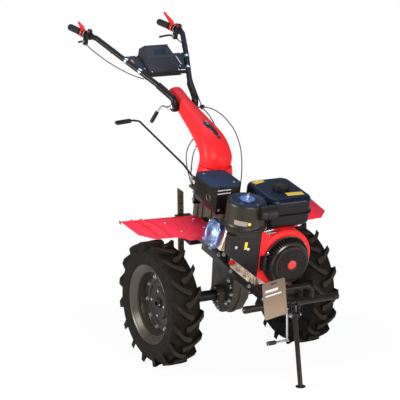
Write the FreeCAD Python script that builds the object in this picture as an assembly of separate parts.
import FreeCAD, Part
import math
import os

from FreeCAD import Placement, Rotation, Vector

# Two-wheeled walk-behind garden tiller, parked on its wheels and front stand.
# Everything on the machine is drawn level, in millimetres, with the wheel axle
# as origin: +X forward, +Y to the machine's left, +Z up.  At the end the whole
# machine is tipped nose-down about the axle, as it leans on its stand, and
# raised onto the ground.

# ---------------------------------------------------------------- driving sizes
NOSE_DOWN = 13.0            # tip of the parked machine about its axle, degrees

TYRE_RADIUS = 295.0         # 5.00-12 farm tyre, over the lugs
TYRE_SECTION = 146.0        # over the side walls
TREAD_WIDTH = 132.0
LUG_HEIGHT = 19.0
TRACK = 734.0               # between the wheels' middle planes
RIM_SEAT = 152.0            # radius of the bead seat
RIM_FLANGE = 167.0
RIM_WIDTH = 96.0
RIM_GAUGE = 3.0
RIM_WELL = 134.0            # radius of the drop centre
RIM_WELL_SHIFT = 15.5       # drop centre inboard of the middle plane, behind the disc
RIM_WELL_HALF = 14.5
DISC_GAUGE = 6.0
DISC_OFFSET = 6.0           # wheel disc's outer face, outboard of the middle plane
HUB_FLANGE = 76.0
HUB_FLANGE_GAUGE = 6.0
AXLE_RADIUS = 25.0
AXLE_BORE = 12.5            # radius of the bore in the axle's outer end
AXLE_BORE_DEPTH = 60.0
AXLE_STUB = 16.0            # beyond the wheel disc
RUNNING_GAP = 0.05          # radial, in a bearing

LUGS = 16                   # on each half of the tread
LUG_WIDTH = 24.0
LUG_ROOT = 30.0             # how far a lug reaches down into the carcass
LUG_SWEEP = 62.0            # round the tread, the shoulder end behind the middle one
LUG_OVERLAP = 8.0           # past the tread's middle
LUG_PROUD = 3.0             # past the tread's edge, on the shoulder
TYRE_SIDES = 32             # flats round the carcass
TREAD_TURN = -NOSE_DOWN     # so that the parked machine stands on two lugs of each tyre

CASE_HALF = 45.0            # half width of the axle case
CASE_RADIUS = 88.0
CASE_FRONT_X = 30.0
CASE_FRONT_Z = 42.0
CASE_FRONT_RADIUS = 80.0
CASE_FLANGE = 7.0
BEARING_RADIUS = 46.0
BEARING_LENGTH = 30.0

HOUSING_HALF = 80.0
RAIL_GAUGE = 6.0
RAIL_SPACER = 9.0           # between the housing and the rails' rear plates
RAIL_SPREAD = 2 * (HOUSING_HALF + RAIL_SPACER + RAIL_GAUGE)
RAIL_HEIGHT = 42.0
RAIL_FLANGE = 34.0
RAIL_BOTTOM = 172.0
RAIL_FRONT = 470.0
RAIL_PLATE = 190.0          # length of the rails' tall rear plates

COLUMN_X = -246.0           # swivel axis of the steering column
SWIVEL_HEIGHT = 560.0
SWIVEL_GAP = 0.4
SWIVEL_PIN = 20.0           # radius
SWIVEL_PIN_LENGTH = 46.0
COLLAR_RADIUS = 92.0
COLLAR_TOP_RADIUS = 80.0
COLLAR_HEIGHT = 90.0
COLLAR_BOTTOM = SWIVEL_HEIGHT - COLLAR_HEIGHT
PEDESTAL_HEIGHT = 40.0
TILT_BEHIND = 346.0         # handlebar's cross pin, behind and above the swivel
TILT_ABOVE = 175.0
TILT_PIVOT = Vector(COLUMN_X - TILT_BEHIND, 0, SWIVEL_HEIGHT + TILT_ABOVE)
TILT_PIN = 9.0              # radius
YOKE_SIDE = 56.0            # handle tubes beside the column, from the middle plane
LOCK_SIDE = 8.0             # lock lever, left of the middle plane
LOCK_RISE = 144.0           # its front end on the hood's top, above the swivel

HOUSING_FRONT = 96.0
HOUSING_REAR = COLUMN_X - 84.0
HOUSING_BOTTOM = 168.0
HOUSING_TOP = COLLAR_BOTTOM - PEDESTAL_HEIGHT
NECK_HALF = 46.0            # half width of the housing's rear part
NECK_FRONT = -160.0
HOUSING_PLATE = 12.0        # top plate, at the housing's full width

ENGINE_RISE = 144.0         # crankshaft above the rails
CRANK_HEIGHT = RAIL_BOTTOM + RAIL_HEIGHT + ENGINE_RISE
CRANK_SIDE = 16.0           # crankshaft, left of the machine's middle plane
CRANKCASE_RISE = 78.0       # crankcase top above the crankshaft
ENGINE_REAR = 112.0
ENGINE_FRONT = 344.0
CRANKCASE_HALF = 100.0
CYLINDER_TILT = 16.0        # degrees above level, leaning to the right
CYLINDER_X = 208.0
CYLINDER_LENGTH = 262.0     # crankshaft to the top of the head
CYLINDER_WIDTH = 128.0
CYLINDER_DEPTH = 104.0
HEAD_LENGTH = 56.0
ROCKER_WIDTH = 112.0
ROCKER_DEPTH = 126.0
ROCKER_HEIGHT = 28.0
ROCKER_CORNER = 26.0
SHROUD_RADIUS = 140.0
SHROUD_DEPTH = 62.0
LOBE_STEP = 5.0            # the cylinder lobe's face behind the drum's
LOBE_SLANT = 22.0           # degrees by which the lobe's lower edge is steeper than the cylinder
CAGE_RADIUS = 116.0
CAGE_DEPTH = 48.0
CAP_RADIUS = 88.0
CAP_DEPTH = 16.0

CLEANER_X = 366.0
CLEANER_Y = -196.0
CLEANER_HEIGHT = 147.0
CLEANER_RADIUS = 88.0
CLEANER_CAP_HEIGHT = 112.0
CLEANER_FLANGE_RADIUS = 98.0
CLEANER_BODY_RADIUS = 80.0
CLEANER_BOX_HALF = 70.0     # its carrier box, across the machine
CLEANER_BOX_WING = 22.0     # how much further the box reaches to the right
CLEANER_BOX_DROP = 226.0
CLEANER_BOX_SLANT = 128.0   # how much higher the box's lower edge is at its right end
CLEANER_BASE = CRANK_HEIGHT + 156.0
CLEANER_TOP = CLEANER_BASE + CLEANER_HEIGHT
CLEANER = Vector(CLEANER_X, CLEANER_Y, 0)
INTAKE_RADIUS = 31.0
INTAKE_FORWARD = 89.0       # intake ahead of the canister's axis
INTAKE_REACH = 100.0        # its round end, left of that axis
SEAT_GAP = 0.3              # between pieces that meet on curved faces

MUFFLER_REAR = 14.0
MUFFLER_FRONT = 202.0
MUFFLER_RIGHT = -274.0
MUFFLER_LEFT = -116.0
MUFFLER_BASE = CRANK_HEIGHT + 162.0
MUFFLER_TOP = MUFFLER_BASE + 136.0
GUARD_GAP = 5.0
GUARD_GAUGE = 2.0
GUARD_CORNER = 24.0
GUARD_SLANT = 30.0
CLAMP_FIT = 0.1             # radial, round the handle tubes
PORT_RADIUS = 17.0

TANK_REAR = 130.0
TANK_FRONT = 386.0
TANK_RIGHT = -74.0
TANK_LEFT = 150.0
TANK_BASE = CRANK_HEIGHT + 144.0
TANK_TOP = TANK_BASE + 140.0
TANK_CORNER = 46.0
TANK_EDGE = 24.0
SEAM_LIP = 8.0
SEAM_HEIGHT = TANK_BASE + 64.0
FILLER_X = 262.0
FILLER_Y = 44.0
FUEL_CAP_RADIUS = 40.0
FUEL_CAP_HEIGHT = 26.0

FENDER_HEIGHT = 345.0
FENDER_GAUGE = 2.5
FENDER_INNER = 116.0
FENDER_OUTER = 524.0
FENDER_REAR = -190.0
FENDER_FRONT = 80.0         # beside the housing
FENDER_SETBACK = 41.0       # the front edge over the tyre lies this far behind
FENDER_CORNER = 58.0
FENDER_DROOP = 2.0
FENDER_LEVEL = 70.0         # width beside the housing that stays level
FENDER_RISE = 2.4           # degrees, from there to the tip

BUMPER_REACH = 57.0         # bumper bar ahead of the rails
BUMPER_X = RAIL_FRONT + BUMPER_REACH
BUMPER_HEIGHT = 200.0
BUMPER_HALF = 247.0
BUMPER_RADIUS = 16.0
BUMPER_PLATE = 65.0         # plates to the rails, from the middle plane
LOOP_RADIUS = 13.0
LOOP_HALF = 108.0
LOOP_RISE = 64.0
LOOP_BEND = 34.0

STAND_PIVOT = Vector(BUMPER_X + 39.0, 0, BUMPER_HEIGHT - 42.0)
STAND_LEAN = 8.6            # degrees from plumb as parked
STAND_RADIUS = 11.0
STAND_PIN = 6.0             # radius
FOOT_RADIUS = 23.0
FOOT_GAUGE = 4.0
EAR_GAP = 30.0              # between the stand bracket's ears
EAR_GAUGE = 5.0
RELEASE_BEHIND = 29.0       # release rod, behind and above the stand's pin
RELEASE_ABOVE = 20.0
RELEASE_LENGTH = 146.0
RELEASE_REACH = 100.0       # its cross handle, to the right
CARD_WIDTH = 118.0
CARD_HEIGHT = 178.0

HITCH_REACH = 178.0         # drawbar behind the housing
HITCH_DROP = 70.0           # lower drawbar plate below the housing's floor, about
HITCH_REAR = HOUSING_REAR - HITCH_REACH
HITCH_HALF = 42.0
HITCH_WALL = 8.0
HITCH_GAP = 72.0            # between the drawbar plates
HITCH_SEAT = 36.0           # back plate above the upper drawbar plate
HITCH_PIN = 8.0             # radius
STAKE_WIDTH = 30.0
STAKE_GAUGE = 10.0
STAKE_RISE = 167.0          # above the socket's middle
STAKE_DROP = 238.0          # below it

CONSOLE_HALF = 88.0
CONSOLE_TOP_HALF = 63.0
CONSOLE_WING_GAUGE = 4.0
CLIP_AHEAD = 36.0           # cable clip, forward of the tilt pin
CLIP_SIDE = 76.0

HANDLE_RADIUS = 13.5
SLEEVE_RADIUS = 17.0
HANDLE_BEND = 42.0
HANDLE_REACH = 799.0        # grips' ends, behind the tilt pin
HANDLE_RISE = 164.0         # and above it
GRIP_RUN = 209.0            # straight length that the grips and levers sit on
GRIP_RADIUS = 17.5
GRIP_LENGTH = 122.0
GRIP_SIDE = 259.0
GEAR_REACH = 660.0          # gear lever's grip, behind its joint
GEAR_ARM = 42.0             # from that joint forward to the post's front

CABLE_RADIUS = 2.6


# --------------------------------------------------------------------- helpers
def box(x0, x1, y0, y1, z0, z1):
    return Part.makeBox(x1 - x0, y1 - y0, z1 - z0, Vector(x0, y0, z0))


def rod(radius, start, end):
    """Cylinder from one point to another."""
    run = end - start
    return Part.makeCylinder(radius, run.Length, start, run)


def cone(radius_start, radius_end, start, end):
    run = end - start
    return Part.makeCone(radius_start, radius_end, run.Length, start, run)


def across(radius, y0, y1, x, z):
    """Cylinder along Y."""
    return rod(radius, Vector(x, y0, z), Vector(x, y1, z))


def polygon_xz(points, y0, y1):
    """Side outline in X and Z, given a width in Y."""
    corners = [Vector(x, y0, z) for x, z in points]
    face = Part.Face(Part.makePolygon(corners + corners[:1]))
    return face.extrude(Vector(0, y1 - y0, 0))


def polygon_yz(points, x0, x1):
    corners = [Vector(x0, y, z) for y, z in points]
    face = Part.Face(Part.makePolygon(corners + corners[:1]))
    return face.extrude(Vector(x1 - x0, 0, 0))


def polygon_xy(points, z0, z1):
    corners = [Vector(x, y, z0) for x, y in points]
    face = Part.Face(Part.makePolygon(corners + corners[:1]))
    return face.extrude(Vector(0, 0, z1 - z0))


def turned(profile, centre, axis):
    """Closed profile of (radius, along) points spun about an axis through centre."""
    axis = Vector(axis)
    axis.normalize()
    side = Vector(1, 0, 0) if abs(axis.x) < 0.5 else Vector(0, 0, 1)
    side = side - axis * side.dot(axis)
    side.normalize()
    corners = [centre + side * radius + axis * along for radius, along in profile]
    face = Part.Face(Part.makePolygon(corners + corners[:1]))
    return face.revolve(centre, axis, 360)


def faceted_ring(profile, centre, sides):
    """Closed profile of (radius, along) points carried round +Y in flats."""
    rings = []
    for index in range(sides):
        angle = 2 * math.pi * index / sides
        rings.append([centre + Vector(radius * math.cos(angle), along, radius * math.sin(angle))
                      for radius, along in profile])
    faces = []
    for index in range(sides):
        here = rings[index]
        there = rings[(index + 1) % sides]
        for corner in range(len(profile)):
            after = (corner + 1) % len(profile)
            corners = [here[corner], here[after], there[after], there[corner]]
            faces.append(Part.Face(Part.makePolygon(corners + corners[:1])))
    solid = Part.makeSolid(Part.makeShell(faces))
    if solid.Volume < 0:
        solid.reverse()
    return solid


def joined(shapes):
    result = shapes[0]
    for shape in shapes[1:]:
        result = result.fuse(shape)
    return result.removeSplitter()


def group(shapes):
    """Solids that stay apart in one node."""
    return Part.makeCompound([solid for shape in shapes for solid in shape.Solids])


def bend_radius(points, index, wanted):
    """Radius of the arc at one point: the wanted one, or as large as its runs allow."""
    before = (points[index - 1] - points[index]).Length
    after = (points[index + 1] - points[index]).Length
    turn = (points[index] - points[index - 1]).getAngle(points[index + 1] - points[index])
    largest = 0.45 * min(before, after) / math.tan(turn / 2)
    return largest if wanted is None else min(wanted, largest)


def route(points, wanted=None):
    """Straight runs joined by tangent arcs."""
    edges = []
    start = points[0]
    for index in range(1, len(points) - 1):
        corner = points[index]
        back = points[index - 1] - corner
        ahead = points[index + 1] - corner
        turn = math.pi - back.getAngle(ahead)
        radius = bend_radius(points, index, wanted)
        reach = radius * math.tan(turn / 2)
        back.normalize()
        ahead.normalize()
        entry = corner + back * reach
        leave = corner + ahead * reach
        inward = back + ahead
        inward.normalize()
        middle = corner + inward * (radius / math.cos(turn / 2) - radius)
        edges.append(Part.LineSegment(start, entry).toShape())
        edges.append(Part.Arc(entry, middle, leave).toShape())
        start = leave
    edges.append(Part.LineSegment(start, points[-1]).toShape())
    return Part.Wire(edges)


def section_at(path, radius):
    edge = path.Edges[0]
    start = edge.valueAt(edge.FirstParameter)
    return Part.Wire(Part.makeCircle(radius, start, edge.tangentAt(edge.FirstParameter)))


def tube(points, radius, wanted=None):
    path = route(points, wanted)
    return path.makePipeShell([section_at(path, radius)], True, False)


def rounded_loop(centre, across_axis, up_axis, half_across, half_up, corner):
    """Rounded rectangle in the plane of two axes."""
    a = Vector(across_axis)
    b = Vector(up_axis)
    a.normalize()
    b.normalize()
    flat_a = half_across - corner
    flat_b = half_up - corner
    edges = []
    quarters = ((1, 1), (-1, 1), (-1, -1), (1, -1))
    arcs = []
    for sign_a, sign_b in quarters:
        middle = centre + a * (sign_a * flat_a) + b * (sign_b * flat_b)
        diagonal = a * sign_a + b * sign_b
        diagonal.normalize()
        first = middle + (a * (sign_a * corner) if sign_a * sign_b > 0 else b * (sign_b * corner))
        last = middle + (b * (sign_b * corner) if sign_a * sign_b > 0 else a * (sign_a * corner))
        arcs.append((first, middle + diagonal * corner, last))
    for index, (first, middle, last) in enumerate(arcs):
        edges.append(Part.Arc(first, middle, last).toShape())
        following = arcs[(index + 1) % 4][0]
        edges.append(Part.LineSegment(last, following).toShape())
    return Part.Wire(edges)


def parked(shape):
    """Level drawing to parked stance: tipped about the axle and raised."""
    stance = Placement(Vector(0, 0, TYRE_RADIUS), Rotation(Vector(0, 1, 0), NOSE_DOWN))
    return moved(shape, stance)


def moved(shape, placement):
    copy = shape.copy()
    copy.Placement = placement.multiply(copy.Placement)
    return copy


def parked_point(point):
    stance = Placement(Vector(0, 0, TYRE_RADIUS), Rotation(Vector(0, 1, 0), NOSE_DOWN))
    return stance.multVec(point)


def level_point(point):
    stance = Placement(Vector(0, 0, TYRE_RADIUS), Rotation(Vector(0, 1, 0), NOSE_DOWN))
    return stance.inverse().multVec(point)


# ---------------------------------------------------------------------- wheels
def tyre(side):
    """Carcass in flats, with two rows of slanted lugs that meet at the tread's middle."""
    middle = Vector(0, side * TRACK / 2, 0)
    half = TYRE_SECTION / 2
    bead = RIM_WIDTH / 2 - 2 * RIM_GAUGE
    seat = (RIM_SEAT + SEAT_GAP) / math.cos(math.pi / TYRE_SIDES)
    wall = 11.0
    tread = TYRE_RADIUS - LUG_HEIGHT
    bulge = (RIM_SEAT + TYRE_RADIUS) / 2
    outer = [
        (seat, bead),
        (RIM_FLANGE + 6.0, bead + 4.0),
        (RIM_FLANGE + 14.0, half - 10.0),
        (bulge, half),
        (tread - 14.0, TREAD_WIDTH / 2 - 2.0),
        (tread, TREAD_WIDTH / 2 - 22.0),
    ]
    inner = [
        (tread - wall - 3.0, TREAD_WIDTH / 2 - 2.5 * wall),
        (seat, bead - wall),
    ]
    profile = outer + [(radius, -along) for radius, along in reversed(outer)]
    profile += [(radius, -along) for radius, along in reversed(inner)] + inner
    carcass = faceted_ring(profile, middle, TYRE_SIDES)
    lugs = []
    for index in range(LUGS):
        for half_tread in (-1, 1):
            turn = 360.0 * (index + 0.25 * half_tread) / LUGS
            lug = tread_lug(half_tread)
            lugs.append(moved(lug, Placement(middle, Rotation(Vector(0, 1, 0), turn))))
    whole = carcass.fuse(lugs).removeSplitter()
    return moved(whole, Placement(Vector(), Rotation(Vector(0, 1, 0), TREAD_TURN)))


def tread_lug(half_tread):
    """One lug at the top of the wheel: a slanted bar from past the middle to over the shoulder."""
    inner = -LUG_OVERLAP
    outer = TREAD_WIDTH / 2 + LUG_PROUD
    width = LUG_WIDTH / 2
    knee = outer * 0.62
    plan = [
        (LUG_SWEEP / 2 - width, inner), (LUG_SWEEP / 2 + width, inner), (width - LUG_SWEEP / 2 + 14, knee),
        (width - LUG_SWEEP / 2, outer), (-width - LUG_SWEEP / 2, outer), (14 - width - LUG_SWEEP / 2, knee),
    ]
    reach = LUG_SWEEP / 2 + width
    top = math.sqrt(TYRE_RADIUS ** 2 - reach ** 2)
    base = TYRE_RADIUS - LUG_HEIGHT - LUG_ROOT
    corners = [Vector(x, half_tread * y, base) for x, y in plan]
    face = Part.Face(Part.makePolygon(corners + corners[:1]))
    bar = face.extrude(Vector(0, 0, top - base))
    return bar


def rim(side):
    middle = Vector(0, side * TRACK / 2, 0)
    half = RIM_WIDTH / 2
    skin = [
        (RIM_FLANGE, half),
        (RIM_FLANGE, half - RIM_GAUGE),
        (RIM_SEAT, half - 2 * RIM_GAUGE),
        (RIM_SEAT, RIM_WELL_HALF - RIM_WELL_SHIFT),
        (RIM_WELL, RIM_WELL_HALF / 2 - RIM_WELL_SHIFT),
        (RIM_WELL, -RIM_WELL_HALF / 2 - RIM_WELL_SHIFT),
        (RIM_SEAT, -RIM_WELL_HALF - RIM_WELL_SHIFT),
        (RIM_SEAT, -half + 2 * RIM_GAUGE),
        (RIM_FLANGE, -half + RIM_GAUGE),
        (RIM_FLANGE, -half),
    ]
    back = [
        (RIM_SEAT - RIM_GAUGE, -half + RIM_GAUGE),
        (RIM_SEAT - RIM_GAUGE, -RIM_WELL_HALF - RIM_WELL_SHIFT - RIM_GAUGE / 2),
        (RIM_WELL - RIM_GAUGE, -RIM_WELL_HALF / 2 - RIM_WELL_SHIFT - RIM_GAUGE / 2),
        (RIM_WELL - RIM_GAUGE, RIM_WELL_HALF / 2 - RIM_WELL_SHIFT + RIM_GAUGE / 2),
        (RIM_SEAT - RIM_GAUGE, RIM_WELL_HALF - RIM_WELL_SHIFT + RIM_GAUGE / 2),
        (RIM_SEAT - RIM_GAUGE, half - RIM_GAUGE),
    ]
    barrel = turned(skin + back, middle, Vector(0, side, 0))
    face = side * (TRACK / 2 + DISC_OFFSET)
    disc = across(RIM_SEAT - RIM_GAUGE / 2, face - side * DISC_GAUGE, face, 0, 0)
    bore = across(AXLE_RADIUS, face - side * 2 * DISC_GAUGE, face + side, 0, 0)
    return joined([barrel, disc.cut(bore)])


def axle(side):
    """Axle shaft with the hub flange that carries the wheel disc."""
    face = TRACK / 2 + DISC_OFFSET
    shaft = across(AXLE_RADIUS, side * (CASE_HALF + 2.0), side * (face + AXLE_STUB), 0, 0)
    flange = across(HUB_FLANGE, side * face, side * (face + HUB_FLANGE_GAUGE), 0, 0)
    bore = across(AXLE_BORE, side * (face + AXLE_STUB - AXLE_BORE_DEPTH), side * (face + AXLE_STUB + 1), 0, 0)
    return joined([shaft, flange]).cut(bore)


# ----------------------------------------------------------- gearbox and frame
def gearbox():
    """Cast case: an axle case below, the gear housing above, bearings at its sides."""
    front = Vector(CASE_FRONT_X, 0, CASE_FRONT_Z)
    lower = hull_xz(Vector(0, 0, 0), CASE_RADIUS, front, CASE_FRONT_RADIUS, CASE_HALF)
    leg = polygon_xz([
        (-CASE_RADIUS, 0), (HOUSING_REAR / 3, HOUSING_BOTTOM + 20), (HOUSING_FRONT, HOUSING_BOTTOM + 20),
        (CASE_FRONT_X + CASE_FRONT_RADIUS, CASE_FRONT_Z),
    ], -CASE_HALF, CASE_HALF)
    rib = hull_xz(Vector(0, 0, 0), CASE_RADIUS + CASE_FLANGE, front,
                  CASE_FRONT_RADIUS + CASE_FLANGE, CASE_FLANGE)
    housing = polygon_xz([
        (HOUSING_REAR, HOUSING_BOTTOM), (HOUSING_FRONT, HOUSING_BOTTOM),
        (HOUSING_FRONT, HOUSING_TOP), (COLUMN_X - COLLAR_RADIUS, HOUSING_TOP),
        (HOUSING_REAR, HOUSING_BOTTOM + 110),
    ], -NECK_HALF, NECK_HALF)
    shoulders = box(NECK_FRONT, HOUSING_FRONT, -HOUSING_HALF, HOUSING_HALF, HOUSING_BOTTOM, HOUSING_TOP)
    plate = box(COLUMN_X - COLLAR_RADIUS, NECK_FRONT + 1, -HOUSING_HALF, HOUSING_HALF,
                HOUSING_TOP - HOUSING_PLATE, HOUSING_TOP)
    pedestal = rod(COLLAR_TOP_RADIUS - 12, Vector(COLUMN_X, 0, HOUSING_TOP - 10),
                   Vector(COLUMN_X, 0, COLLAR_BOTTOM))
    bearings = across(BEARING_RADIUS, -CASE_HALF - BEARING_LENGTH, CASE_HALF + BEARING_LENGTH, 0, 0)
    case = joined([lower, leg, rib, housing, shoulders, plate, pedestal, bearings])
    half = CASE_HALF + BEARING_LENGTH + 1
    for side in (-1, 1):
        case = case.cut(across(AXLE_RADIUS + RUNNING_GAP, side * (CASE_HALF - 4), side * half, 0, 0))
    return case


def hull_xz(first, first_radius, second, second_radius, half):
    """Two round ends and the straight sides that join them, seen from the side."""
    run = second - first
    distance = run.Length
    lead = math.atan2(run.z, run.x)
    spread = math.acos((first_radius - second_radius) / distance)
    corners = []
    for centre, radius, sign in ((first, first_radius, 1), (second, second_radius, 1),
                                 (second, second_radius, -1), (first, first_radius, -1)):
        angle = lead + sign * spread
        corners.append((centre.x + radius * math.cos(angle), centre.z + radius * math.sin(angle)))
    body = polygon_xz(corners, -half, half)
    ends = [across(first_radius, -half, half, first.x, first.z),
            across(second_radius, -half, half, second.x, second.z)]
    return joined([body] + ends)


def frame_rails():
    """Two channel rails under the engine, joined by a front cross plate."""
    outer = RAIL_SPREAD / 2
    top = RAIL_BOTTOM + RAIL_HEIGHT
    pieces = []
    for side in (-1, 1):
        low, high = sorted((side * outer, side * (outer - RAIL_GAUGE)))
        web = polygon_xz([
            (HOUSING_FRONT - RAIL_PLATE, RAIL_BOTTOM + 34), (HOUSING_FRONT - 66, RAIL_BOTTOM),
            (RAIL_FRONT, RAIL_BOTTOM),
            (RAIL_FRONT, top), (HOUSING_FRONT, top), (HOUSING_FRONT - 30, top + 48),
            (HOUSING_FRONT - RAIL_PLATE, top + 48),
        ], low, high)
        low, high = sorted((side * outer, side * (outer - RAIL_FLANGE)))
        pieces.append(web)
        pieces.append(box(HOUSING_FRONT + 4, RAIL_FRONT, low, high, top - RAIL_GAUGE, top))
    front = box(RAIL_FRONT - RAIL_GAUGE, RAIL_FRONT, -outer, outer, RAIL_BOTTOM, top)
    return joined(pieces + [front])


def rail_spacers():
    """Pads between the gear housing and the rails' rear plates."""
    pieces = []
    inner = RAIL_SPREAD / 2 - RAIL_GAUGE
    for side in (-1, 1):
        for x, z in ((-50.0, 226.0), (30.0, 226.0)):
            pieces.append(across(12.0, side * HOUSING_HALF, side * inner, x, z))
    return group(pieces)


# ---------------------------------------------------------------------- engine
def crank_point(x, y=0.0, z=0.0):
    return Vector(x, CRANK_SIDE + y, CRANK_HEIGHT + z)


def cylinder_axis():
    tilt = math.radians(CYLINDER_TILT)
    return Vector(0, -math.cos(tilt), math.sin(tilt))


def leaning_block(width, depth, near, far):
    """Block on the cylinder's line: its X width, its depth, and its reach from the crankshaft."""
    block = box(CYLINDER_X - width / 2, CYLINDER_X + width / 2, -far, -near, -depth / 2, depth / 2)
    turn = Rotation(Vector(1, 0, 0), -CYLINDER_TILT)
    return moved(block, Placement(crank_point(0.0), turn))


def engine_block():
    """Crankcase, cylinder and clutch bell: the machine's heavy mass."""
    top = RAIL_BOTTOM + RAIL_HEIGHT
    case = box(ENGINE_REAR, ENGINE_FRONT, CRANK_SIDE - CRANKCASE_HALF, CRANK_SIDE + CRANKCASE_HALF,
               top, CRANK_HEIGHT + CRANKCASE_RISE)
    cylinder = leaning_block(CYLINDER_WIDTH, CYLINDER_DEPTH, 60.0, CYLINDER_LENGTH - HEAD_LENGTH)
    bell = rod(86.0, Vector(HOUSING_FRONT, 0, 300), Vector(ENGINE_REAR + 10, 0, 300))
    return joined([case, cylinder, bell])


def cylinder_head():
    return leaning_block(CYLINDER_WIDTH + 10, CYLINDER_DEPTH + 6,
                         CYLINDER_LENGTH - HEAD_LENGTH, CYLINDER_LENGTH)


def rocker_cover():
    """Eight-sided pressed cover on the head."""
    width = ROCKER_WIDTH / 2
    depth = ROCKER_DEPTH / 2
    cut = ROCKER_CORNER
    outline = [(-width, -depth + cut), (-width + cut, -depth), (width - cut, -depth), (width, -depth + cut),
               (width, depth - cut), (width - cut, depth), (-width + cut, depth), (-width, depth - cut)]
    corners = [Vector(x, 0, z) for x, z in outline]
    face = Part.Face(Part.makePolygon(corners + corners[:1]))
    cover = face.extrude(Vector(0, -ROCKER_HEIGHT, 0))
    rim_edges = [edge for edge in cover.Edges
                 if all(abs(vertex.Y + ROCKER_HEIGHT) < 0.01 for vertex in edge.Vertexes)]
    cover = cover.makeFillet(8.0, rim_edges)
    turn = Rotation(Vector(1, 0, 0), -CYLINDER_TILT)
    seat = crank_point(CYLINDER_X) + cylinder_axis() * CYLINDER_LENGTH
    return moved(cover, Placement(seat, turn))


def fan_shroud():
    """Pressed cowl over the flywheel, with a lobe that follows the cylinder."""
    x0 = ENGINE_FRONT
    x1 = ENGINE_FRONT + SHROUD_DEPTH
    drum = rod(SHROUD_RADIUS, crank_point(x0), crank_point(x1))
    rim_edges = [edge for edge in drum.Edges if abs(edge.BoundBox.XMin - x1) < 0.01]
    drum = drum.makeFillet(14.0, rim_edges)
    tilt = math.radians(CYLINDER_TILT + LOBE_SLANT)
    foot_y = CRANK_SIDE - SHROUD_RADIUS * math.sin(tilt)
    foot_z = CRANK_HEIGHT - SHROUD_RADIUS * math.cos(tilt)
    lobe_side = CLEANER_Y - CLEANER_BOX_HALF
    lobe = polygon_yz([
        (foot_y, foot_z), (lobe_side, foot_z + (foot_y - lobe_side) * math.tan(tilt)),
        (lobe_side, CLEANER_BASE - 22), (CLEANER.y + 82, CLEANER_BASE - 10),
        (CRANK_SIDE - 70, CRANK_HEIGHT + 116),
        (CRANK_SIDE, CRANK_HEIGHT),
    ], x0, x1 - LOBE_STEP)
    return joined([drum, lobe]).cut(air_cleaner_base())


def recoil_starter():
    """Round pull-starter: louvred cage and front cap, hollow behind."""
    x0 = ENGINE_FRONT + SHROUD_DEPTH
    profile = [(0.0, 0.0), (CAGE_RADIUS, 0.0), (CAGE_RADIUS, CAGE_DEPTH - 12), (CAGE_RADIUS - 10, CAGE_DEPTH),
                (CAP_RADIUS, CAGE_DEPTH), (CAP_RADIUS - 4, CAGE_DEPTH + CAP_DEPTH),
                (0.0, CAGE_DEPTH + CAP_DEPTH)]
    return turned(profile, crank_point(x0), Vector(1, 0, 0))


def starter_grip():
    x0 = ENGINE_FRONT + SHROUD_DEPTH
    y = CRANK_SIDE - CAGE_RADIUS - 9.3
    return box(x0 + 6, x0 + 34, y - 9, y + 9, CRANK_HEIGHT - 26, CRANK_HEIGHT + 40)


def air_cleaner_base():
    """Black carrier box under the canister, in front of the cowl's lobe."""
    x1 = ENGINE_FRONT + SHROUD_DEPTH
    right = CLEANER_Y - CLEANER_BOX_HALF - CLEANER_BOX_WING
    left = CLEANER_Y + CLEANER_BOX_HALF
    return polygon_yz([
        (left, CLEANER_BASE - CLEANER_BOX_DROP), (left, CLEANER_BASE - SEAT_GAP),
        (right, CLEANER_BASE - SEAT_GAP),
        (right, CLEANER_BASE - CLEANER_BOX_DROP + CLEANER_BOX_SLANT),
    ], x1 - 40, x1 + 12)


def air_cleaner():
    """Tall canister: body, flange and domed cap."""
    seam = CLEANER_TOP - CLEANER_CAP_HEIGHT
    profile = [
        (0.0, CLEANER_BASE), (CLEANER_BODY_RADIUS - 8, CLEANER_BASE), (CLEANER_BODY_RADIUS, seam - 34),
        (CLEANER_BODY_RADIUS, seam - 14), (CLEANER_FLANGE_RADIUS, seam - 14), (CLEANER_FLANGE_RADIUS, seam),
        (CLEANER_RADIUS, seam + 4), (CLEANER_RADIUS, CLEANER_TOP - 12),
        (CLEANER_RADIUS - 5, CLEANER_TOP - 3.5),
        (CLEANER_RADIUS - 14, CLEANER_TOP), (0.0, CLEANER_TOP),
    ]
    return turned(profile, CLEANER, Vector(0, 0, 1))


def air_cleaner_nut():
    """Pressed washer and wing nut that hold the cap down."""
    top = Vector(CLEANER.x, CLEANER.y, CLEANER_TOP)
    washer = cone(36.0, 33.0, top, top + Vector(0, 0, 5))
    boss = rod(7.0, top, top + Vector(0, 0, 20))
    wings = box(top.x - 3, top.x + 3, top.y - 18, top.y + 18, top.z + 8, top.z + 24)
    return joined([washer, boss, wings])


def air_intake():
    """Intake duct across the front of the canister, with a rounded end."""
    z = CLEANER_TOP - INTAKE_RADIUS - 4
    x = CLEANER.x + INTAKE_FORWARD
    end = CLEANER.y + INTAKE_REACH
    duct = across(INTAKE_RADIUS, CLEANER.y + 16, end, x, z)
    rim_edges = [edge for edge in duct.Edges if abs(edge.BoundBox.YMin - end) < 0.01]
    duct = duct.makeFillet(INTAKE_RADIUS / 2, rim_edges)
    drum = rod(CLEANER_RADIUS + SEAT_GAP, CLEANER + Vector(0, 0, z - 60), CLEANER + Vector(0, 0, z + 60))
    return duct.cut(drum)


def muffler_outline(inset):
    """Plan of the guard: a box with its four corners cut off."""
    x0 = MUFFLER_REAR + inset
    x1 = MUFFLER_FRONT - inset
    y0 = MUFFLER_RIGHT + inset
    y1 = MUFFLER_LEFT - inset
    cut = GUARD_CORNER
    return [(x0, y0 + cut), (x0 + cut, y0), (x1 - cut, y0), (x1, y0 + cut),
            (x1, y1 - cut), (x1 - cut, y1), (x0 + cut, y1), (x0, y1 - cut)]


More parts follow.
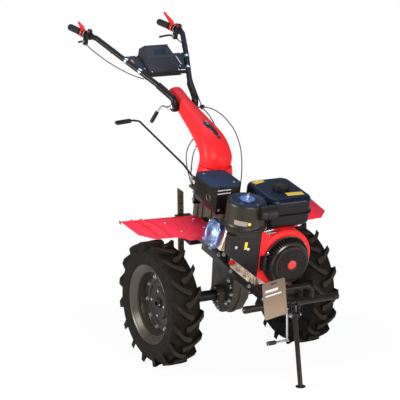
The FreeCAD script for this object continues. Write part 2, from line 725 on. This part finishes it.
def muffler_front(inset, base):
    """The same box seen from the front: its lower right edge is cut off too."""
    right = MUFFLER_RIGHT + inset
    left = MUFFLER_LEFT - inset
    top = MUFFLER_TOP + 1
    return polygon_yz([
        (left, base), (left, top), (right, top), (right, MUFFLER_BASE + 1.5 * GUARD_SLANT),
        (right + GUARD_SLANT, base),
    ], MUFFLER_REAR - 1, MUFFLER_FRONT + 1)


def muffler():
    """Silencer box with its port pipe down to the head."""
    inset = GUARD_GAP + GUARD_GAUGE
    body = polygon_xy(muffler_outline(inset), MUFFLER_BASE, MUFFLER_TOP - GUARD_GAUGE - SEAT_GAP)
    body = body.common(muffler_front(inset, MUFFLER_BASE))
    port = Vector(MUFFLER_FRONT - 26, MUFFLER_RIGHT + 90, MUFFLER_BASE + 1)
    pipe = rod(PORT_RADIUS, port - Vector(0, 0, 90), port)
    silencer = joined([body, pipe]).cut(cylinder_head())
    return max(silencer.Solids, key=lambda solid: solid.Volume)


def muffler_guard():
    """Pressed heat guard over the top and sides of the muffler, open below."""
    shell = polygon_xy(muffler_outline(0.0), MUFFLER_BASE, MUFFLER_TOP)
    shell = shell.common(muffler_front(0.0, MUFFLER_BASE))
    hollow = polygon_xy(muffler_outline(GUARD_GAUGE), MUFFLER_BASE - 1, MUFFLER_TOP - GUARD_GAUGE)
    hollow = hollow.common(muffler_front(GUARD_GAUGE, MUFFLER_BASE - 1))
    return shell.cut(hollow)


def fuel_tank():
    body = box(TANK_REAR, TANK_FRONT, TANK_RIGHT, TANK_LEFT, TANK_BASE, TANK_TOP)
    body = body.makeFillet(TANK_CORNER, [edge for edge in body.Edges if edge.BoundBox.ZLength > 50])
    ends = [edge for edge in body.Edges if edge.BoundBox.ZLength < 0.01]
    body = body.makeFillet(TANK_EDGE, ends)
    lip = box(TANK_REAR - SEAM_LIP, TANK_FRONT + SEAM_LIP, TANK_RIGHT - SEAM_LIP, TANK_LEFT + SEAM_LIP,
              SEAM_HEIGHT - 2, SEAM_HEIGHT + 2)
    lip = lip.makeFillet(TANK_CORNER + SEAM_LIP, [edge for edge in lip.Edges if edge.BoundBox.ZLength > 3])
    return joined([body, lip])


def tank_brackets():
    """Legs that carry the tank on the crankcase."""
    top = CRANK_HEIGHT + CRANKCASE_RISE
    pieces = [box(x, x + 24, TANK_RIGHT + 40, TANK_LEFT - 50, top, TANK_BASE)
              for x in (TANK_REAR + 30, ENGINE_FRONT - 40)]
    return group(pieces)


def fuel_cap():
    base = Vector(FILLER_X, FILLER_Y, TANK_TOP)
    neck = rod(FUEL_CAP_RADIUS - 8, base, base + Vector(0, 0, 8))
    cap = cone(FUEL_CAP_RADIUS, FUEL_CAP_RADIUS - 3, base + Vector(0, 0, 8),
               base + Vector(0, 0, FUEL_CAP_HEIGHT))
    return joined([neck, cap])


# --------------------------------------------------------------------- fenders
def fender(side):
    """Pressed wing over one wheel: level beside the housing, then rising a little to its tip."""
    z = FENDER_HEIGHT
    gauge = FENDER_GAUGE
    top = [(FENDER_REAR, z - 8), (FENDER_REAR + 30, z), (FENDER_FRONT - 60, z),
           (FENDER_FRONT, z - FENDER_DROOP)]
    under = [(x, height - gauge) for x, height in reversed(top)]
    crease = FENDER_INNER + FENDER_LEVEL
    low, high = sorted((side * FENDER_INNER, side * crease))
    inner = polygon_xz(top + under, low, high)
    low, high = sorted((side * crease, side * FENDER_OUTER))
    outer = polygon_xz(top + under, low, high)
    hinge = Vector(0, side * crease, z - gauge)
    turn = Rotation(Vector(1, 0, 0), side * FENDER_RISE)
    outer = moved(outer, Placement(hinge - turn.multVec(hinge), turn))
    front = FENDER_FRONT - FENDER_SETBACK
    step = (FENDER_INNER + FENDER_OUTER) / 2
    notch = polygon_xy([
        (FENDER_FRONT + 1, side * (step - 32)), (front + 15, side * (step - 12)), (front, side * (step + 26)),
        (front, side * (FENDER_OUTER - 15 - FENDER_CORNER)),
        (front - FENDER_CORNER, side * (FENDER_OUTER - 15)),
        (FENDER_REAR - 1, side * (FENDER_OUTER - 1)), (FENDER_REAR - 1, side * (FENDER_OUTER + 9)),
        (FENDER_FRONT + 1, side * (FENDER_OUTER + 9)),
    ], z - 60, z + 60)
    return joined([inner, outer]).cut(notch)


def fender_brackets():
    """Angle arms from the gear housing and rails out to the wings."""
    pieces = []
    for side in (-1, 1):
        low, high = sorted((side * HOUSING_HALF, side * (FENDER_INNER + 70)))
        under = FENDER_HEIGHT - FENDER_GAUGE - SEAT_GAP
        for x in (FENDER_REAR + 44, FENDER_FRONT - 92):
            arm = box(x, x + 26, low, high, under - 5, under)
            web = box(x, x + 5, low, high, under - 26, under - 4)
            pieces.append(joined([arm, web]))
    return group(pieces)


# ------------------------------------------------------- rear hitch and stake
def hitch():
    """Two drawbar plates with a pin hole, and the socket of the depth stake behind them."""
    plates = []
    floor = HOUSING_BOTTOM - HITCH_DROP + HITCH_WALL
    for z0 in (floor, floor + HITCH_WALL + HITCH_GAP):
        plates.append(box(HITCH_REAR, HOUSING_REAR, -HITCH_HALF, HITCH_HALF, z0, z0 + HITCH_WALL))
    plates.append(box(HOUSING_REAR - HITCH_WALL, HOUSING_REAR, -HITCH_HALF, HITCH_HALF,
                      floor, floor + 2 * HITCH_WALL + HITCH_GAP + HITCH_SEAT))
    block = joined(plates)
    socket_half = STAKE_WIDTH / 2 + HITCH_WALL + 0.3
    depth = STAKE_GAUGE / 2 + HITCH_WALL + 0.3
    socket = box(-depth, depth, -socket_half, socket_half, -62, 30)
    socket = moved(socket, stake_place())
    block = joined([block, socket])
    slot = box(-STAKE_GAUGE / 2 - 0.3, STAKE_GAUGE / 2 + 0.3,
               -STAKE_WIDTH / 2 - 0.3, STAKE_WIDTH / 2 + 0.3, -80, 80)
    block = block.cut(moved(slot, stake_place()))
    pin_x = (HITCH_REAR + HOUSING_REAR) / 2 + 10
    hole = rod(HITCH_PIN + 0.3, Vector(pin_x, 0, floor - 8), Vector(pin_x, 0, floor + 112))
    return block.cut(hole)


def stake_place():
    """The stake stands plumb on the parked machine."""
    seat = Vector(HITCH_REAR - 6, 0, HOUSING_BOTTOM - HITCH_DROP + 56)
    return Placement(seat, Rotation(Vector(0, 1, 0), -NOSE_DOWN))


def depth_stake():
    bar = box(-STAKE_GAUGE / 2, STAKE_GAUGE / 2, -STAKE_WIDTH / 2, STAKE_WIDTH / 2, -STAKE_DROP, STAKE_RISE)
    slant = polygon_yz([
        (STAKE_WIDTH / 2 + 1, STAKE_RISE + 1), (-STAKE_WIDTH / 2 - 1, STAKE_RISE + 1),
        (-STAKE_WIDTH / 2 - 1, STAKE_RISE - 22),
    ], -20, 20)
    return moved(bar.cut(slant), stake_place())


def stake_pin():
    length = STAKE_GAUGE / 2 + HITCH_WALL + 0.3
    pin = rod(5.0, Vector(-length - 14, 0, 10), Vector(-length, 0, 10))
    return moved(pin, stake_place())


# ------------------------------------------------------- front bumper and stand
def bumper():
    """Cross bar on two plates, a lifting loop above it and the stand's ears below."""
    centre = Vector(BUMPER_X, 0, BUMPER_HEIGHT)
    pieces = [across(BUMPER_RADIUS, -BUMPER_HALF, BUMPER_HALF, BUMPER_X, BUMPER_HEIGHT)]
    for side in (-1, 1):
        plate = side * BUMPER_PLATE
        pieces.append(box(RAIL_FRONT, BUMPER_X, plate - 3, plate + 3,
                          RAIL_BOTTOM + 2, RAIL_BOTTOM + RAIL_HEIGHT - 2))
        ear = hull_xz(centre, 20.0, STAND_PIVOT, 15.0, EAR_GAUGE / 2)
        pieces.append(moved(ear, Placement(Vector(0, side * (EAR_GAP + EAR_GAUGE) / 2, 0), Rotation())))
    top = BUMPER_HEIGHT + LOOP_RISE
    loop = tube([
        Vector(BUMPER_X - 2, -LOOP_HALF, BUMPER_HEIGHT), Vector(BUMPER_X - 18, -LOOP_HALF, top),
        Vector(BUMPER_X - 18, LOOP_HALF, top), Vector(BUMPER_X - 2, LOOP_HALF, BUMPER_HEIGHT),
    ], LOOP_RADIUS, LOOP_BEND)
    pin = across(STAND_PIN, -EAR_GAP / 2 - 1, EAR_GAP / 2 + 1, STAND_PIVOT.x, STAND_PIVOT.z)
    return joined(pieces + [loop, pin])


def stand_leg():
    """Prop with its eye on the pin and a round foot flat on the ground."""
    pivot = parked_point(STAND_PIVOT)
    lean = math.radians(STAND_LEAN)
    foot = Vector(pivot.x + pivot.z * math.tan(lean), 0, 0)
    eye = across(STAND_PIN + 8, -EAR_GAP / 2 + 2, EAR_GAP / 2 - 2, pivot.x, pivot.z)
    leg = rod(STAND_RADIUS, pivot, foot + (pivot - foot) * (FOOT_GAUGE / 2 / pivot.z))
    disc = rod(FOOT_RADIUS, foot, foot + Vector(0, 0, FOOT_GAUGE))
    floor = Part.makeBox(400, 400, 60, Vector(foot.x - 200, -200, -60))
    bore = across(STAND_PIN + RUNNING_GAP, -EAR_GAP, EAR_GAP, pivot.x, pivot.z)
    return joined([eye, leg, disc]).cut(bore).cut(floor)


def stand_release():
    """Zinc rod that hangs from a boss on the stand's ear, with a cross handle and a rubber end."""
    ear_face = -EAR_GAP / 2 - EAR_GAUGE
    boss_x = STAND_PIVOT.x - RELEASE_BEHIND
    boss_z = STAND_PIVOT.z + RELEASE_ABOVE
    boss = across(8.0, ear_face - 12, ear_face, boss_x, boss_z)
    top = Vector(boss_x, ear_face - 6, boss_z)
    bottom = level_point(parked_point(top) - Vector(0, 0, RELEASE_LENGTH))
    hanger = rod(4.5, top, bottom)
    handle = rod(5.5, bottom + Vector(0, 8, 0), bottom - Vector(0, RELEASE_REACH, 0))
    rubber = rod(9.0, bottom - Vector(0, RELEASE_REACH - 34, 0), bottom - Vector(0, RELEASE_REACH + 4, 0))
    return joined([boss, hanger, handle, rubber])


def hang_tag():
    """Blank card leaning on the bumper bar."""
    card = box(-0.6, 0.6, -CARD_WIDTH / 2, CARD_WIDTH / 2, -CARD_HEIGHT / 2, CARD_HEIGHT / 2)
    seat = Vector(BUMPER_X + BUMPER_RADIUS - 3.2, -101, BUMPER_HEIGHT + 40)
    turn = Rotation(Vector(0, 1, 0), -6).multiply(Rotation(Vector(1, 0, 0), 9))
    return moved(card, Placement(seat, turn))


# ------------------------------------------------------------ column and handles
def column_base():
    """Red collar on the gear housing, bored for the column's swivel pin."""
    foot = Vector(COLUMN_X, 0, COLLAR_BOTTOM)
    head = Vector(COLUMN_X, 0, SWIVEL_HEIGHT - SWIVEL_GAP)
    collar = cone(COLLAR_RADIUS, COLLAR_TOP_RADIUS, foot, head)
    bore = rod(SWIVEL_PIN + RUNNING_GAP, head - Vector(0, 0, SWIVEL_PIN_LENGTH + 2), head + Vector(0, 0, 5))
    return collar.cut(bore)


def steering_column():
    """Swan-neck hood: upright at the swivel, then a tapered arm up and back to the handles."""
    stations = [
        (Vector(COLUMN_X - 6, 0, SWIVEL_HEIGHT), Vector(0, 0, 1), 74, 54, 34),
        (Vector(COLUMN_X - 12, 0, SWIVEL_HEIGHT + 52), Vector(-0.15, 0, 1), 72, 54, 34),
        (Vector(COLUMN_X - 72, 0, SWIVEL_HEIGHT + 98), Vector(-0.8, 0, 0.6), 62, 50, 32),
        (Vector(COLUMN_X - 180, 0, SWIVEL_HEIGHT + 132), Vector(-0.95, 0, 0.3), 50, 44, 28),
        (Vector(TILT_PIVOT.x, 0, TILT_PIVOT.z), Vector(-0.95, 0, 0.3), 38, 37, 22),
        (Vector(TILT_PIVOT.x - 112, 0, TILT_PIVOT.z + 36), Vector(-0.95, 0, 0.3), 34, 29, 20),
    ]
    loops = []
    for centre, ahead, half_across, half_up, corner in stations:
        up = Vector(0, 1, 0).cross(ahead)
        loops.append(rounded_loop(centre, Vector(0, 1, 0), up, half_across, half_up, corner))
    hood = Part.makeLoft(loops, True, False)
    pin_top = Vector(COLUMN_X, 0, SWIVEL_HEIGHT + 20)
    pin = rod(SWIVEL_PIN, pin_top, Vector(COLUMN_X, 0, SWIVEL_HEIGHT - SWIVEL_PIN_LENGTH))
    bore = across(TILT_PIN + RUNNING_GAP, -90, 90, TILT_PIVOT.x, TILT_PIVOT.z)
    return joined([hood, pin]).cut(bore)


def column_lock():
    """Black lever and knob let into the top of the hood."""
    seat = Vector(COLUMN_X - 54, LOCK_SIDE, SWIVEL_HEIGHT + LOCK_RISE)
    lever = rod(11.0, seat, seat + Vector(-78, -14, 25))
    foot = Vector(COLUMN_X - 23, LOCK_SIDE + 6, SWIVEL_HEIGHT + LOCK_RISE - 26)
    knob = rod(8.0, foot, foot + Vector(3, 0, 18))
    return group([lever, knob]).cut(steering_column())


def handle_path(side):
    pivot = TILT_PIVOT
    return [
        Vector(pivot.x, side * YOKE_SIDE, pivot.z - 22),
        Vector(pivot.x - 2, side * (YOKE_SIDE + 1), pivot.z + 34),
        Vector(pivot.x - 122, side * (YOKE_SIDE + 32), pivot.z + 68),
        Vector(pivot.x - 335, side * (YOKE_SIDE + 120), pivot.z + 136),
        Vector(pivot.x - 520, side * (YOKE_SIDE + 190), pivot.z + 192),
        Vector(pivot.x - HANDLE_REACH + GRIP_RUN, side * GRIP_SIDE, pivot.z + HANDLE_RISE + 22),
        Vector(pivot.x - HANDLE_REACH, side * GRIP_SIDE, pivot.z + HANDLE_RISE),
    ]


def handlebar():
    """Two bent tubes on one cross pin, with a cross bar between them."""
    pieces = []
    for side in (-1, 1):
        points = handle_path(side)
        pieces.append(tube(points, HANDLE_RADIUS, HANDLE_BEND))
        pieces.append(tube(points[:3], SLEEVE_RADIUS, HANDLE_BEND))
    pieces.append(across(TILT_PIN, -YOKE_SIDE, YOKE_SIDE, TILT_PIVOT.x, TILT_PIVOT.z))
    bar = handle_path(1)[2] + (handle_path(1)[3] - handle_path(1)[2]) * 0.42
    pieces.append(across(9.0, -bar.y, bar.y, bar.x, bar.z))
    return joined(pieces)


def grips():
    pieces = []
    for side in (-1, 1):
        points = handle_path(side)
        run = points[-1] - points[-2]
        run.normalize()
        outer = rod(GRIP_RADIUS, points[-1] - run * GRIP_LENGTH, points[-1] + run * 6)
        inner = rod(HANDLE_RADIUS, points[-1] - run * (GRIP_LENGTH + 1), points[-1])
        pieces.append(outer.cut(inner))
    return group(pieces)


def console():
    """Hooded box between the tubes, narrower at its top, with a plate to each tube."""
    px = TILT_PIVOT.x
    pz = TILT_PIVOT.z
    profile = [(px - 213, pz + 85), (px - 268, pz + 160), (px - 349, pz + 198), (px - 388, pz + 170),
               (px - 372, pz + 128), (px - 240, pz + 74)]
    block = polygon_xz(profile, -CONSOLE_HALF, CONSOLE_HALF)
    sides = polygon_yz([
        (-CONSOLE_HALF, pz + 70), (-CONSOLE_HALF, pz + 112), (-CONSOLE_TOP_HALF, pz + 199),
        (CONSOLE_TOP_HALF, pz + 199), (CONSOLE_HALF, pz + 112), (CONSOLE_HALF, pz + 70),
    ], px - 400, px - 200)
    block = block.common(sides)
    gauge = CONSOLE_WING_GAUGE
    tubes = handlebar()
    for side in (-1, 1):
        low, high = sorted((side * (CONSOLE_HALF - 2), side * (YOKE_SIDE + 150)))
        slab = polygon_xz([
            (px - 246, pz + 96), (px - 366, pz + 138),
            (px - 366, pz + 138 + gauge), (px - 246, pz + 96 + gauge),
        ], low, high)
        reach = polygon_xy([
            (px - 240, side * (CONSOLE_HALF - 3)), (px - 240, side * (YOKE_SIDE + 82)),
            (px - 370, side * (YOKE_SIDE + 133)), (px - 370, side * (CONSOLE_HALF - 3)),
        ], pz, pz + 220)
        block = block.fuse(slab.common(reach))
    return block.removeSplitter().cut(tubes)


def lever_brackets():
    """Clamps on the handle tubes that carry the hand levers."""
    pieces = []
    for side in (-1, 1):
        points = handle_path(side)
        run = points[-1] - points[-2]
        run.normalize()
        seat = points[-2] + run * 24
        ring = rod(HANDLE_RADIUS + 6, seat - run * 9, seat + run * 9)
        drop = box(seat.x - 14, seat.x + 14, seat.y - 8, seat.y + 8, seat.z - 52, seat.z - 12)
        bore = rod(HANDLE_RADIUS + CLAMP_FIT, seat - run * 60, seat + run * 60)
        pieces.append(joined([ring, drop]).cut(bore))
    return group(pieces)


def hand_levers():
    pieces = []
    for side in (-1, 1):
        points = handle_path(side)
        run = points[-1] - points[-2]
        run.normalize()
        seat = points[-2] + run * 24 + Vector(0, 0, -44)
        reach = 1.0 if side > 0 else 0.4
        pieces.append(tube([
            seat + Vector(-15.4, 0, 0), seat + Vector(-15.4 - 60 * reach, 0, -12 * reach),
            seat + Vector(-15.4 - 148 * reach, 0, -52 * reach),
        ], 5.0))
    return group(pieces)


def thumb_levers():
    pieces = []
    for side in (-1, 1):
        points = handle_path(side)
        run = points[-1] - points[-2]
        run.normalize()
        seat = points[-2] + run * 58
        ring = rod(HANDLE_RADIUS + 7, seat - run * 8, seat + run * 8)
        reach = 1.0 if side > 0 else 0.5
        start = seat + Vector(-4, 0, 18)
        blade = rod(5.0, start + Vector(0, 0, -4), start + Vector(-110 * reach, 0, 26 * reach + 6))
        bore = rod(HANDLE_RADIUS + CLAMP_FIT, seat - run * 60, seat + run * 60)
        pieces.append(joined([ring, blade]).cut(bore))
    return group(pieces)


def clamp_lever():
    """Cranked zinc lever that tightens the tilt pin, with a black grip."""
    start = Vector(TILT_PIVOT.x, -YOKE_SIDE - SLEEVE_RADIUS - 5.3, TILT_PIVOT.z - 6)
    points = [start, start + Vector(-52, -18, -6), start + Vector(-66, -30, -32),
              start + Vector(-72, -36, -52)]
    crank = tube(points, 5.0, 12.0)
    run = points[-1] - points[-2]
    run.normalize()
    grip = rod(10.5, points[-1] - run * 10, points[-1] + run * 56)
    return joined([crank, grip])


def gear_lever():
    """Long gear-change rod from the housing's right side back to the driver."""
    foot = Vector(COLUMN_X - 16, -HOUSING_HALF - 26, HOUSING_TOP + 70)
    points = [foot, foot + Vector(-90, -6, 30), foot + Vector(50 - GEAR_REACH, 17, 58),
              foot + Vector(26 - GEAR_REACH, -5, 56), foot + Vector(-GEAR_REACH, -61, 40)]
    bar = tube(points, 5.0, 24.0)
    run = points[-1] - points[-2]
    run.normalize()
    grip = rod(11.0, points[-1] - run * 52, points[-1] + run * 20)
    reach = foot.x + GEAR_ARM
    arm = box(foot.x - 6, reach, foot.y - 6, foot.y + 6, foot.z - 8, foot.z + 8)
    post = box(reach - 16, reach, foot.y - 6, foot.y + 6, HOUSING_TOP - 50, foot.z + 8)
    bracket = box(reach - 16, reach, foot.y - 6, -NECK_HALF, HOUSING_TOP - 50, HOUSING_TOP - HOUSING_PLATE)
    return joined([bar, grip, arm, post, bracket])


def cable_clip():
    """Ring on the left side of the column arm that gathers the cables."""
    seat = Vector(TILT_PIVOT.x + CLIP_AHEAD, CLIP_SIDE, TILT_PIVOT.z + 2)
    ring = rod(9.0, seat - Vector(5, 0, 0), seat + Vector(5, 0, 0))
    stem = rod(3.5, Vector(seat.x, 20, seat.z - 6), seat)
    return joined([ring, stem]).cut(steering_column())


# ---------------------------------------------------------------------- cables
# Bowden cables are held all the way, by the handle tubes, the clip on the column
# and the housing.  Their points are chosen by hand along the real routes.
def by_pivot(ahead, side, above):
    """Point given from the handlebar's cross pin."""
    return Vector(TILT_PIVOT.x + ahead, side, TILT_PIVOT.z + above)


def by_swivel(ahead, side, above):
    """Point given from the top of the collar."""
    return Vector(COLUMN_X + ahead, side, SWIVEL_HEIGHT + above)


def by_housing(ahead, side, above):
    """Point given from the gear housing's top, at the column."""
    return Vector(COLUMN_X + ahead, side, HOUSING_TOP + above)


CABLES = {
    "cable_throttle_upper": [
        by_pivot(-599.2, 262, 135), by_pivot(-544, 260, 131), by_pivot(-468, 236, 137),
        by_pivot(-368, 200, 115),
        by_pivot(-268, 164, 81), by_pivot(-168, 130, 53), by_pivot(-68, 106, 23), by_pivot(29.5, 78, 4),
    ],
    "cable_throttle_lower": [
        by_pivot(42.5, 79, 4), by_pivot(122, 88, 21), by_pivot(212, 94, 19), by_swivel(-24, 98, 164),
        by_swivel(46, 100, 100), by_swivel(70, 104, 20), by_housing(86, 100, 70), by_housing(96, 83.2, 0),
    ],
    "cable_clutch_lower": [
        by_pivot(42.5, 75, -2), by_pivot(84, 82, -13), by_pivot(130, 84, -31), by_pivot(178, 80, -51),
        by_pivot(224, 61, -69),
    ],
    "cable_reverse_upper": [
        by_pivot(-599.2, -262, 135), by_pivot(-538, -256, 125), by_pivot(-448, -226, 101),
        by_pivot(-358, -188, 81), by_pivot(-278, -152, 71), by_pivot(-198, -120, 75),
    ],
    "cable_reverse_lower": [
        by_swivel(-158, -44, 77), by_swivel(-146, -76, 44), by_swivel(-132, -90, 0), by_housing(-96, -96, 80),
        by_housing(-80, -88, 40), by_housing(-76, -72, 1.6),
    ],
    "cable_brake_lower": [
        by_swivel(-106, -52, 64), by_swivel(-94, -74, 30), by_swivel(-84, -82, -20), by_housing(-86, -80, 54),
        by_housing(-86, -62, 1.2),
    ],
}


def cable(name):
    points = CABLES[name]
    path = route(points)
    solid = path.makePipeShell([section_at(path, CABLE_RADIUS)], True, False)
    radii = [bend_radius(points, index, None) for index in range(1, len(points) - 1)]
    expected = math.pi * CABLE_RADIUS ** 2 * path.Length
    print(name, "length %.0f mm" % path.Length, "radii", ["%.0f" % radius for radius in radii],
          "volume ratio %.4f" % (solid.Volume / expected))
    return solid


# ------------------------------------------------------------------------ build
def build():
    level = {
        "gearbox": gearbox(),
        "frame_rails": frame_rails(),
        "rail_spacers": rail_spacers(),
        "engine_block": engine_block(),
        "cylinder_head": cylinder_head(),
        "rocker_cover": rocker_cover(),
        "fan_shroud": fan_shroud(),
        "recoil_starter": recoil_starter(),
        "starter_grip": starter_grip(),
        "air_cleaner_base": air_cleaner_base(),
        "air_cleaner": air_cleaner(),
        "air_cleaner_nut": air_cleaner_nut(),
        "air_intake": air_intake(),
        "muffler": muffler(),
        "muffler_guard": muffler_guard(),
        "fuel_tank": fuel_tank(),
        "tank_brackets": tank_brackets(),
        "fuel_cap": fuel_cap(),
        "fender_right": fender(-1),
        "fender_left": fender(1),
        "fender_brackets": fender_brackets(),
        "hitch": hitch(),
        "depth_stake": depth_stake(),
        "stake_pin": stake_pin(),
        "bumper": bumper(),
        "stand_release": stand_release(),
        "hang_tag": hang_tag(),
        "column_base": column_base(),
        "steering_column": steering_column(),
        "column_lock": column_lock(),
        "cable_clip": cable_clip(),
        "handlebar": handlebar(),
        "grips": grips(),
        "console": console(),
        "lever_brackets": lever_brackets(),
        "hand_levers": hand_levers(),
        "thumb_levers": thumb_levers(),
        "clamp_lever": clamp_lever(),
        "gear_lever": gear_lever(),
    }
    for name in CABLES:
        level[name] = cable(name)
    for side, label in ((-1, "right"), (1, "left")):
        level["tyre_" + label] = tyre(side)
        level["rim_" + label] = rim(side)
        level["axle_" + label] = axle(side)
    nodes = {name: parked(shape) for name, shape in level.items()}
    nodes["stand_leg"] = stand_leg()
    return nodes


def centred(nodes):
    """Origin on the ground, below the middle of the whole machine."""
    lows = [shape.BoundBox.XMin for shape in nodes.values()]
    highs = [shape.BoundBox.XMax for shape in nodes.values()]
    shift = Vector(-(min(lows) + max(highs)) / 2, 0, 0)
    print("axle_x %.3f" % shift.x)
    placement = Placement(shift, Rotation())
    return {name: moved(shape, placement) for name, shape in nodes.items()}, shift


nodes, shift = centred(build())
pivots = {
    "axle": Vector(0, 0, 0),
    "stand_pivot": STAND_PIVOT,
    "swivel": Vector(COLUMN_X, 0, SWIVEL_HEIGHT),
    "tilt_pivot": TILT_PIVOT,
}
for label, point in pivots.items():
    print(label, [round(value, 3) for value in parked_point(point) + shift])
os.makedirs("parts", exist_ok=True)
for name, shape in nodes.items():
    shape.exportStep("parts/%s.step" % name)
print(len(nodes), "nodes")
